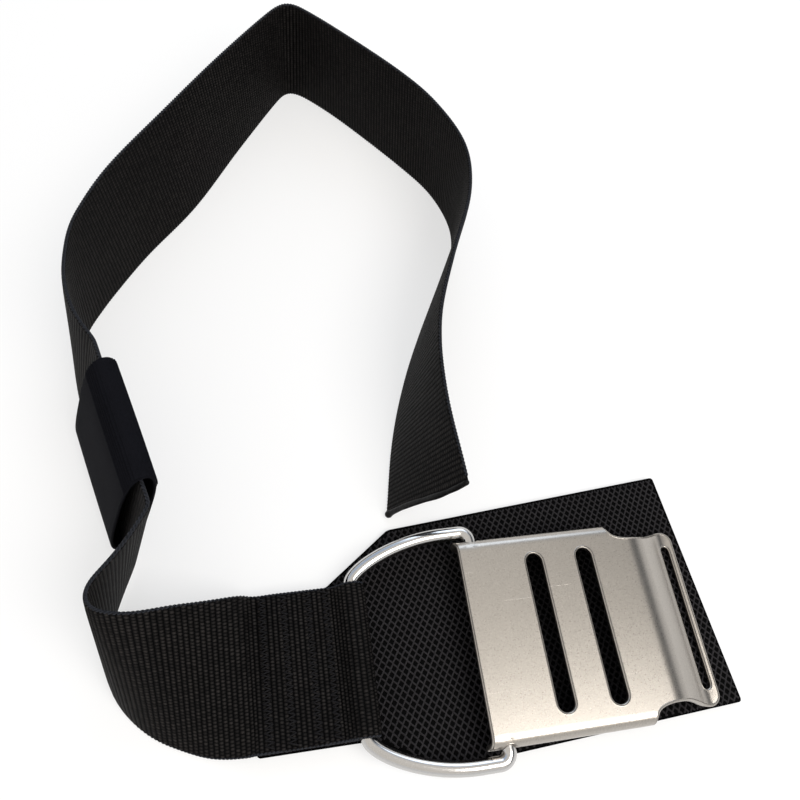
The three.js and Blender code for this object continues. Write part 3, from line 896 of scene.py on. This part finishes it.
class STRAP_OT_stitching(Operator):
    """Sew the four zigzag rows and the keeper's closing seam"""

    bl_idname = "strap.stitching"
    bl_label = "Stitching"

    def execute(self, context):
        settings = context.scene.strap_settings
        rng = np.random.default_rng(SEED + 1)
        material = strand_material("sewing_thread", tuple(settings.sewing), 1200, 0.5)
        top = TOP_LAYER_Z + HALF_THICK - ZIGZAG_SINK
        for number, distance in enumerate(ROWS_FROM_FOLD, 1):
            x = FOLD_END_X - distance
            path = zigzag(
                np.array([x, -SEAM_HALF, top]), np.array([x, SEAM_HALF, top]), np.array([1.0, 0, 0]),
                np.array([0, 0, 1.0]), ZIGZAG_HALF, settings.stitch / MM, rng, 0.4,
            )
            row = tube(f"seam_{number}", [path], settings.thread / MM, 6, (0, 0, 1))
            dress(row, material, "thread")
            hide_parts(f"stitch_row_{number}")
            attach(row, "belt")
        start, axis, wide, out = keeper_frame()
        centre = start + out * (KEEPER_OFFSET + 5.25)
        path = zigzag(
            centre + axis * 2, centre + axis * (KEEPER_LENGTH - 2), wide, out, ZIGZAG_HALF, 1.5, rng, 0.35,
        )
        seam = tube("keeper_closing_seam", [path], settings.thread / MM, 6, out)
        dress(seam, material, "thread")
        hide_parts("keeper_seam")
        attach(seam, "keeper")
        return {"FINISHED"}


# ---- Bail and buckle -----------------------------------------------------------------------------------

class STRAP_OT_bail(Operator):
    """Bend the wire bail"""

    bl_idname = "strap.bail"
    bl_label = "Bail"

    def execute(self, context):
        settings = context.scene.steel_settings
        corner_y = PLATE_HALF + 0.5
        corner = BAIL_HALF - corner_y
        arm_x, flare_x, bar = PIVOT_X - corner, PIVOT_X - 10, HALF_WEB + 0.3
        half = np.concatenate([
            line((LOOP_BAR_X, 0), (LOOP_BAR_X, -bar), 8),
            bezier(
                (LOOP_BAR_X, -bar), (LOOP_BAR_X, -bar - 4), (LOOP_BAR_X + 16, -BAIL_HALF),
                (flare_x, -BAIL_HALF), 60,
            ),
            line((flare_x, -BAIL_HALF), (arm_x, -BAIL_HALF), 4),
            arc(arm_x, -corner_y, corner, -90, 0, 14),
            line((PIVOT_X, -corner_y), (PIVOT_X, 0), 8),
        ])
        mirrored = np.concatenate([[[PIVOT_X, 0]], half[:0:-1] * (1, -1)])
        loop = spaced(np.concatenate([half, mirrored]), 0.6)
        tip = math.asin((PIVOT_Z - LOOP_BAR_Z) / (PIVOT_X - LOOP_BAR_X))
        reach = loop[:, 0] - LOOP_BAR_X
        path = np.stack([LOOP_BAR_X + reach, loop[:, 1], LOOP_BAR_Z + reach * math.tan(tip)], axis=1)
        wire = tube("bail_wire", [path], WIRE_RADIUS, 24, (-math.sin(tip), 0, math.cos(tip)), closed=True)
        dress(
            wire, steel_material("polished_wire", tuple(settings.wire), settings.wire_roughness, 0.6, 0.6),
            "polished_steel",
        )
        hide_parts("bail")
        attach(wire, "bail")
        return {"FINISHED"}


def lever_profile():
    """Middle of the sheet from plate to tip as x, z and slope: two arcs joined by a straight slope."""
    plate_z = PLATE_TOP - SHEET / 2
    share = np.linspace(0, 1, 25)
    bend = -LEVER_ANGLE * share
    x1 = LEVER_START_X - LEVER_TOP_RADIUS * np.sin(bend)
    z1 = plate_z - LEVER_TOP_RADIUS * (1 - np.cos(bend))
    foot_drop = LEVER_FOOT_RADIUS * (1 - math.cos(LEVER_ANGLE))
    run = (z1[-1] - foot_drop - (PAD_TOP + 0.3 + SHEET / 2)) / math.sin(LEVER_ANGLE)
    x2, z2 = x1[-1] + run * math.cos(LEVER_ANGLE), z1[-1] - run * math.sin(LEVER_ANGLE)
    centre_x = x2 + LEVER_FOOT_RADIUS * math.sin(LEVER_ANGLE)
    centre_z = z2 + LEVER_FOOT_RADIUS * math.cos(LEVER_ANGLE)
    rise = -LEVER_ANGLE + (LEVER_ANGLE + TIP_ANGLE) * share
    x3, z3 = centre_x + LEVER_FOOT_RADIUS * np.sin(rise), centre_z - LEVER_FOOT_RADIUS * np.cos(rise)
    x4, z4 = x3[-1] + TIP_LENGTH * math.cos(TIP_ANGLE), z3[-1] + TIP_LENGTH * math.sin(TIP_ANGLE)
    x = np.concatenate([[-20, LEVER_START_X - 0.01], x1, x3, [x4]])
    z = np.concatenate([[plate_z, plate_z], z1, z3, [z4]])
    slope = np.concatenate([[0, 0], bend, rise, [TIP_ANGLE]])
    return x, z, slope


def lay_buckle(x_lever, z_lever, slope):
    """The flat pattern bent: past each bend line it turns down a quarter circle into a flange."""
    along_s = arc_length(np.stack([x_lever, z_lever], axis=1)) + x_lever[0]
    bend_y = PLATE_HALF - SHEET / 2 - BEND_MIDDLE
    quarter = BEND_MIDDLE * math.pi / 2

    def lay(s, t, h):
        x = np.interp(s, along_s, x_lever)
        z = np.interp(s, along_s, z_lever)
        tilt = np.interp(s, along_s, slope)
        over = np.abs(t) - bend_y
        angle = np.clip(over / BEND_MIDDLE, 0, np.pi / 2)
        down = np.maximum(over - quarter, 0)
        y = np.minimum(np.abs(t), bend_y) + (BEND_MIDDLE + h) * np.sin(angle)
        lower = (BEND_MIDDLE + h) * (np.cos(angle) - 1) - down + h
        bent = over > 0
        x = np.where(bent, x, x - h * np.sin(tilt))
        z = np.where(bent, z + lower, z + h * np.cos(tilt))
        return np.stack([x, np.sign(t) * y, z], axis=1)

    return lay, along_s, bend_y, quarter


class STRAP_OT_buckle(Operator):
    """Cut and bend the buckle's sheet"""

    bl_idname = "strap.buckle"
    bl_label = "Buckle"

    def execute(self, context):
        settings = context.scene.steel_settings
        x_lever, z_lever, slope = lever_profile()
        lay, along_s, bend_y, quarter = lay_buckle(x_lever, z_lever, slope)
        tip_x = x_lever[-1]

        def flat_of(x):
            """Distance along the flat sheet of a place in x."""
            return np.interp(x, x_lever, along_s)

        def on_sheet(loop):
            """An outline whose points past the lever's start are laid out along the sheet."""
            loop[:, 0] = np.where(loop[:, 0] > LEVER_START_X, flat_of(loop[:, 0]), loop[:, 0])
            return loop

        down_to = bend_y + quarter + (PLATE_TOP - SHEET / 2 - BEND_MIDDLE) - FLANGE_BOTTOM

        # Half outline of the flat pattern, from the middle of the cam edge round to the middle of the tip.
        t = np.linspace(0, down_to, 90)
        over = np.clip((t - bend_y) / BEND_MIDDLE, 0, np.pi / 2)
        z = PLATE_TOP - SHEET / 2 - BEND_MIDDLE * (1 - np.cos(over)) - np.maximum(t - bend_y - quarter, 0)
        cam = PIVOT_X - np.sqrt(np.maximum(CAM_RADIUS**2 - (z - PIVOT_Z) ** 2, 0))
        waist, wide = PLATE_HALF - WAIST_INSET, PLATE_HALF - TIP_INSET
        x0 = LEVER_START_X + 4
        round_x, round_t = FLANGE_END_X - FLANGE_CORNER, down_to - FLANGE_CORNER
        half = np.concatenate([
            np.stack([cam, t], axis=1),
            line((PIVOT_X + 0.5, down_to), (round_x, down_to), 20),
            arc(round_x, round_t, FLANGE_CORNER, 90, 0, 10),
            line((FLANGE_END_X, round_t), (FLANGE_END_X, 35.5), 6),
            bezier((FLANGE_END_X, 35.5), (FLANGE_END_X, 31.5), (FLANGE_END_X + 2, waist), (x0, waist), 26),
            bezier((x0, waist), (x0 + 7, waist), (tip_x - 9, wide), (tip_x - TIP_CORNER, wide), 20),
            arc(tip_x - TIP_CORNER, wide - TIP_CORNER, TIP_CORNER, 90, 0, 12),
            line((tip_x, wide - TIP_CORNER), (tip_x, 0), 12),
        ])
        outline = np.concatenate([half, [[tip_x, 0]], (half * (1, -1))[:0:-1]])
        outline = on_sheet(spaced(outline, 0.7))

        holes = []
        slots = [(x, SLOT_RADIUS, SLOT_HALF) for x in SLOT_CENTRES]
        slots.append((tip_x - TIP_BAR - END_SLOT_RADIUS, END_SLOT_RADIUS, END_SLOT_HALF))
        for x, r, half_y in slots:
            slot = np.concatenate([
                arc(x, half_y - r, r, 0, 180, 14), line((x - r, half_y - r), (x - r, r - half_y), 60),
                arc(x, r - half_y, r, 180, 360, 14), line((x + r, r - half_y), (x + r, half_y - r), 60),
            ])
            holes.append(on_sheet(spaced(slot, 0.6)))
        hole_t = bend_y + quarter + (PLATE_TOP - SHEET / 2 - BEND_MIDDLE) - PIVOT_Z
        for side in (-1, 1):
            holes.append(arc(PIVOT_X, side * hole_t, WIRE_RADIUS + PIVOT_PLAY, 0, 360, 36))

        across = np.concatenate([
            np.linspace(0, bend_y - 1, 9), np.linspace(bend_y, bend_y + quarter, 9),
            np.linspace(bend_y + quarter + 0.6, down_to, 5),
        ])
        across = np.concatenate([-across[:0:-1], across])
        lever = flat_of(np.linspace(LEVER_START_X, tip_x, 44))
        lines = (np.concatenate([np.arange(-1, LEVER_START_X - 1, 3.1), lever]), across)
        buckle = rounded_sheet("buckle_sheet", outline, holes, SHEET, settings.rim / MM, lay, lines)
        dress(
            buckle, steel_material("satin_sheet", tuple(settings.plate), settings.plate_roughness, 1.0, 1.0),
            "satin_steel",
        )
        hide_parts("buckle_plate")
        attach(buckle, "buckle")
        return {"FINISHED"}


# ---- Pad -----------------------------------------------------------------------------------------------

def round_corners(corners, radius):
    """An outline whose corners are cut by short curves from radius before to radius after each corner."""
    corners = np.asarray(corners, dtype=float)
    before = unit(np.roll(corners, 1, axis=0) - corners) * radius
    after = unit(np.roll(corners, -1, axis=0) - corners) * radius
    pieces = [
        bezier(c + b, c + 0.4 * b, c + 0.4 * a, c + a, 8) for c, b, a in zip(corners, before, after)
    ]
    return np.concatenate(pieces)


def lattice_strands(settings, outline):
    """Wavy strands half a cell apart, clipped to the pad: offset = w/4 (0.85 c + 0.15 c cubed), c the cosine
    of y. Every second strand swings the other way, so that neighbours meet at the diamonds' corners."""
    far, near = PAD_OUTLINE[4:6]
    turn = math.atan2(far[1] - near[1], far[0] - near[0])
    axis_x = np.array([math.cos(turn), math.sin(turn)])
    axis_y = np.array([-math.sin(turn), math.cos(turn)])
    w, l = settings.cell_width / MM, settings.cell_length / MM
    y = np.arange(-60, 80, l / 6)
    swing = np.cos(2 * np.pi * y / l)
    swing = 0.85 * swing + 0.15 * swing**3
    strands = []
    for number, start in enumerate(np.arange(-90, 110, w / 2)):
        x = start + (-1) ** number * w / 4 * swing
        flat = x[:, None] * axis_x + y[:, None] * axis_y
        kept = inside(flat, outline)
        edges = np.flatnonzero(np.diff(np.concatenate([[0], kept.astype(int), [0]])))
        strands += [flat[a:b] for a, b in zip(edges[::2], edges[1::2]) if b - a > 4]
    return strands


def ridge(name, paths, half, height, base):
    """A low rounded ridge along each flat path: five points across, at 1, 0.82 and -0.1 of the height."""
    across = np.array([-1, -0.55, 0.0, 0.55, 1]) * half
    tall = np.array([-0.1, 0.82, 1.0, 0.82, -0.1]) * height
    points, faces, start = [], [], 0
    for path in paths:
        forward = along(path)
        side = np.stack([-forward[:, 1], forward[:, 0]], axis=1)
        xy = path[:, None] + side[:, None] * across[:, None]
        z = np.broadcast_to(base + tall, xy.shape[:2])
        points.append(np.concatenate([xy, z[..., None]], axis=-1).reshape(-1, 3))
        faces.append(grid_faces(len(path), 5, False, True) + start)
        ring = np.arange(5)
        ends = np.stack([ring[::-1], ring + (len(path) - 1) * 5]) + start
        faces.append(ends)
        start += 5 * len(path)
    quads = np.concatenate([f for f in faces if f.shape[1] == 4])
    ends = np.concatenate([f for f in faces if f.shape[1] == 5])
    return new_piece(name, np.concatenate(points), [quads, ends])


class STRAP_OT_pad(Operator):
    """Build the pad: grip sheet, foam, cover and its raised diamond lattice"""

    bl_idname = "strap.pad"
    bl_label = "Pad"

    def execute(self, context):
        settings = context.scene.pad_settings
        lift = settings.strand_height / MM
        layers = (
            ("pad_grip", "pad_backing", "pad_backing", 0.0, 0.72, 0.0,
             rubber_material("grip_rubber", tuple(settings.grip), 1500, 0.08, 0.75)),
            ("pad_foam", "pad_core", "pad_core", 0.75, 2.22, 0.15,
             rubber_material("pad_foam_cells", tuple(settings.foam), 2200, 0.15, 0.9)),
            ("pad_cover", "pad_face", "pad_mesh", 2.25, PAD_TOP - lift, 0.0,
             rubber_material("cover_cells", tuple(settings.cell), 1800, 0.06, 0.7)),
        )
        outline = spaced(round_corners(PAD_OUTLINE, 1.2), 0.8)
        lines = (np.arange(-74, 96, 6.0), np.arange(-36, 56, 6.0))
        for name, node, slot, low, high, inset, material in layers:
            thick, mid = high - low, (low + high) / 2

            def flat(x, y, h, mid=mid):
                """The layer's own height, level."""
                return np.stack([x, y, mid + h], axis=1)

            layer = rounded_sheet(name, shrunk(outline, inset), [], thick, 0.3 * thick, flat, lines)
            dress(layer, material, slot)
            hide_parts(node)
            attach(layer, "belt")
        strands = lattice_strands(settings, shrunk(outline, LATTICE_MARGIN))
        lattice = ridge("pad_lattice", strands, settings.strand / MM / 2, lift, PAD_TOP - lift)
        rubber = rubber_material("lattice_rubber", tuple(settings.lattice), 1400, 0.05, 0.55)
        dress(lattice, rubber, "pad_mesh")
        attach(lattice, "belt")
        return {"FINISHED"}


# ---- Keeper --------------------------------------------------------------------------------------------

def keeper_frame():
    """Where the sleeve starts on the webbing's middle, its axis, the webbing's width and the outward way."""
    begin = np.array([*KEEPER_FROM, KEEPER_EDGE_Z])
    axis = unit(np.array([*KEEPER_TO, KEEPER_EDGE_Z]) - begin)
    rise = math.sqrt(4 * HALF_WEB**2 - KEEPER_LEAN[0] ** 2 - KEEPER_LEAN[1] ** 2)
    wide = unit(np.array([*KEEPER_LEAN, rise]))
    out = unit(np.cross(axis, wide))
    return begin + wide * HALF_WEB + axis * KEEPER_START, axis, wide, out


class STRAP_OT_keeper(Operator):
    """Build the elastic keeper sleeve"""

    bl_idname = "strap.keeper"
    bl_label = "Keeper"

    def execute(self, context):
        settings = context.scene.keeper_settings
        start, axis, wide, out = keeper_frame()
        wall = settings.wall / MM
        around = 720
        phi = np.arange(around) * 2 * np.pi / around

        # Section: a long oval, cos^0.55 by sin^0.8, whose lower part lies away from the strap's loop.
        end = np.sign(np.cos(phi)) * np.abs(np.cos(phi)) ** 0.55
        full = np.sign(np.sin(phi)) * np.abs(np.sin(phi)) ** 0.8
        share = (end + 1) / 2
        half = KEEPER_HALF_OPEN - 0.3 * share
        centre = KEEPER_OFFSET + 0.4 - 1.9 * (1 - share)
        loop = np.stack([end * KEEPER_HALF_LONG, centre + half * full], axis=1)
        girth = arc_length(np.concatenate([loop, loop[:1]]))
        tangent = along(loop, closed=True)
        normal = np.stack([tangent[:, 1], -tangent[:, 0]], axis=1)
        cords = 0.5 - 0.5 * np.cos(2 * np.pi * girth[:-1] / (settings.rib_pitch / MM))
        near_fold = np.clip((share - 0.82) / 0.04, 0, 1) * np.clip((0.99 - share) / 0.02, 0, 1)
        relief = settings.rib_height / MM * cords * near_fold

        # Wall: out along the outside, round the rim, back along the inside and round the other rim.
        n, last = 14, KEEPER_LENGTH - KEEPER_RIM
        rim = np.radians(np.linspace(0, 180, 7)[1:-1])
        far = np.concatenate([
            np.linspace(KEEPER_RIM, last, n), last + KEEPER_RIM * np.sin(rim),
            np.linspace(last, KEEPER_RIM, n), KEEPER_RIM - KEEPER_RIM * np.sin(rim),
        ])
        depth = np.concatenate([
            np.zeros(n), wall / 2 - wall / 2 * np.cos(rim),
            np.full(n, wall), wall / 2 + wall / 2 * np.cos(rim),
        ])
        crest = np.repeat([1.0, 0, 0, 0], (n, len(rim), n, len(rim)))
        bow = 0.35 * np.sin(np.pi * far / KEEPER_LENGTH)
        inward = -depth[:, None] + crest[:, None] * relief + bow[:, None] * 0.3
        flat = loop[None] + normal[None] * inward[..., None]
        slant = KEEPER_SLANT * share * (far[:, None] / KEEPER_LENGTH) ** 3
        points = (
            start + axis * (far[:, None] - slant)[..., None] + wide * flat[..., 0:1] + out * flat[..., 1:2]
        )
        faces = [grid_faces(len(far), around, True, True)]
        section = np.append(arc_length(np.stack([far, depth], axis=1)), 2 * KEEPER_LENGTH + 4)
        sleeve = new_piece("keeper_sleeve", points, faces, grid_uv(section, girth))
        dress(sleeve, elastic_material(settings), "elastic")
        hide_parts("keeper")
        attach(sleeve, "keeper")
        return {"FINISHED"}


# ---- Stage ---------------------------------------------------------------------------------------------

def floor_material(settings):
    """Pale floor that keeps its shadow: plain diffuse, 0.6 of it white for camera, glossy and clear rays."""
    s = Shader("pale_floor")
    path = s.add("ShaderNodeLightPath").outputs
    shown = s.math("ADD", path["Is Camera Ray"], path["Is Glossy Ray"])
    seen = s.math("MINIMUM", s.math("ADD", shown, path["Is Transmission Ray"]), 1.0)
    s.finish(Base_Color=(*settings.floor, 1), Roughness=1.0, Specular_IOR_Level=0.0)
    glow = s.add("ShaderNodeEmission", {"Color": (1, 1, 1, 1), "Strength": 1.0}).outputs[0]
    blend = s.add("ShaderNodeMixShader", {0: s.times(seen, 0.6), 1: s.surface.outputs[0], 2: glow})
    s.links.new(blend.outputs[0], s.nodes["Material Output"].inputs["Surface"])
    return s.material


def placed(x_way, y_way, z_way, place):
    """A matrix from the directions of its three axes and its origin."""
    rows = [[x_way[i], y_way[i], z_way[i], place[i]] for i in range(3)]
    return Matrix([*rows, [0, 0, 0, 1]])


def soft_light(name, watts, size, place, toward, tint):
    """A square area light, turned so that it shines from its place toward a point."""
    data = bpy.data.lights.new(name, "AREA")
    data.energy, data.size, data.color = watts, size, tint
    lamp = bpy.data.objects.new(name, data)
    back = unit(np.array(place, dtype=float) - np.array(toward, dtype=float))
    side = unit(np.cross((0.0, 1.0, 0.01), back))
    up = np.cross(back, side)
    lamp.matrix_world = placed(side, up, back, place)
    bpy.context.scene.collection.objects.link(lamp)


def soft_sky():
    """Pale sky, plain near the horizon; higher up it is warm on the near side, cool on the far side and dim
    towards the lever. Each tint is a smooth step of one part of the direction."""
    world = bpy.data.worlds.new("soft_sky")
    world.use_nodes = True
    tree = world.node_tree
    back = tree.nodes["Background"]
    split = tree.nodes.new("ShaderNodeSeparateXYZ")
    tree.links.new(tree.nodes.new("ShaderNodeTexCoord").outputs["Generated"], split.inputs[0])

    def blend(factor, first, second, mode="MIX"):
        made = tree.nodes.new("ShaderNodeMix")
        made.data_type, made.blend_type = "RGBA", mode
        for place, value in ((0, factor), (6, first), (7, second)):
            if isinstance(value, bpy.types.NodeSocket):
                tree.links.new(value, made.inputs[place])
            else:
                made.inputs[place].default_value = value
        return made.outputs[2]

    def step(axis, low, high):
        made = tree.nodes.new("ShaderNodeMapRange")
        made.interpolation_type = "SMOOTHSTEP"
        made.inputs["From Min"].default_value = low
        made.inputs["From Max"].default_value = high
        tree.links.new(split.outputs[axis], made.inputs["Value"])
        return made.outputs[0]

    sides = blend(step("Y", 0.2, 0.9), (1.0, 0.96, 0.9, 1), (0.5, 0.68, 0.96, 1))
    dim = blend(step("X", 0.25, 0.7), (1, 1, 1, 1), (0.1, 0.115, 0.14, 1))
    tinted = blend(1.0, sides, dim, "MULTIPLY")
    tree.links.new(blend(step("Z", 0.3, 0.55), (1, 1, 1, 1), tinted), back.inputs["Color"])
    back.inputs["Strength"].default_value = 0.92
    return world


class STRAP_OT_stage(Operator):
    """Lay the floor and set the world, the lights and the camera"""

    bl_idname = "strap.stage"
    bl_label = "Stage"

    def execute(self, context):
        settings = context.scene.stage_settings
        low = min(0.0, CAD_BOX[0][2] / MM) - 0.02
        reach = 2500.0
        corners = np.array([
            [-reach, -reach, low], [reach, -reach, low], [reach, reach, low], [-reach, reach, low],
        ])
        floor = new_piece("floor", corners, [np.array([[0, 1, 2, 3]])])
        floor.data.materials.append(floor_material(settings))
        floor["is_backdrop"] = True

        context.scene.world = soft_sky()

        soft_light("key", settings.key_watts, 0.45, (0.27, -0.26, 0.7), (0, 0.05, 0), (1.0, 0.97, 0.93))
        soft_light("fill", settings.fill_watts, 0.5, (0.2, 0.75, 0.6), (0, 0.1, 0), (0.85, 0.92, 1.0))

        # Camera: its right, up and back vectors from yaw, pitch and roll.
        yaw, pitch, roll = CAMERA_YAW, CAMERA_PITCH, CAMERA_ROLL
        look = np.array([math.sin(yaw) * math.cos(pitch), math.cos(yaw) * math.cos(pitch), -math.sin(pitch)])
        level = np.array([math.cos(yaw), -math.sin(yaw), 0.0])
        down = np.cross(look, level)
        right = math.cos(roll) * level + math.sin(roll) * down
        under = -math.sin(roll) * level + math.cos(roll) * down
        data = bpy.data.cameras.new("camera")
        data.sensor_width, data.lens = 36, settings.lens / MM
        data.clip_start, data.clip_end = 0.01, 20
        camera = bpy.data.objects.new("camera", data)
        camera.matrix_world = placed(right, -under, -look, CAMERA_PLACE)
        context.scene.collection.objects.link(camera)
        context.scene.camera = camera
        context.scene.view_settings.view_transform = "Standard"
        return {"FINISHED"}


# ---- Panel and registration ----------------------------------------------------------------------------

OPERATORS = (
    STRAP_OT_stage, STRAP_OT_pad, STRAP_OT_bail, STRAP_OT_buckle, STRAP_OT_webbing, STRAP_OT_keeper,
    STRAP_OT_stitching,
)
SETTINGS = {
    "strap_settings": StrapSettings,
    "steel_settings": SteelSettings,
    "pad_settings": PadSettings,
    "keeper_settings": KeeperSettings,
    "stage_settings": StageSettings,
}


class STRAP_PT_panel(Panel):
    """Sizes and colours of the strap, and a button for each group of pieces"""

    bl_idname = "STRAP_PT_panel"
    bl_label = "Cam-buckle strap"
    bl_space_type = "VIEW_3D"
    bl_region_type = "UI"
    bl_category = "Strap"

    def draw(self, context):
        for name, group in SETTINGS.items():
            box = self.layout.box()
            box.label(text=group.__doc__)
            for key in group.__annotations__:
                box.prop(getattr(context.scene, name), key)
        for operator in OPERATORS:
            self.layout.operator(operator.bl_idname)


def register():
    for made in (*SETTINGS.values(), *OPERATORS, STRAP_PT_panel):
        bpy.utils.register_class(made)
    for name, group in SETTINGS.items():
        setattr(bpy.types.Scene, name, PointerProperty(type=group))


def unregister():
    for name in SETTINGS:
        delattr(bpy.types.Scene, name)
    for made in (STRAP_PT_panel, *reversed(OPERATORS), *SETTINGS.values()):
        bpy.utils.unregister_class(made)


def main():
    register()
    bpy.ops.strap.stage()
    bpy.ops.strap.pad()
    bpy.ops.strap.bail()
    bpy.ops.strap.buckle()
    bpy.ops.strap.webbing()
    bpy.ops.strap.keeper()
    bpy.ops.strap.stitching()
    plain = lambda box: [[float(v) for v in corner] for corner in box]
    {"cad": plain(CAD_BOX), "visual": plain(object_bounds())}


if __name__ == "__main__":
    main()
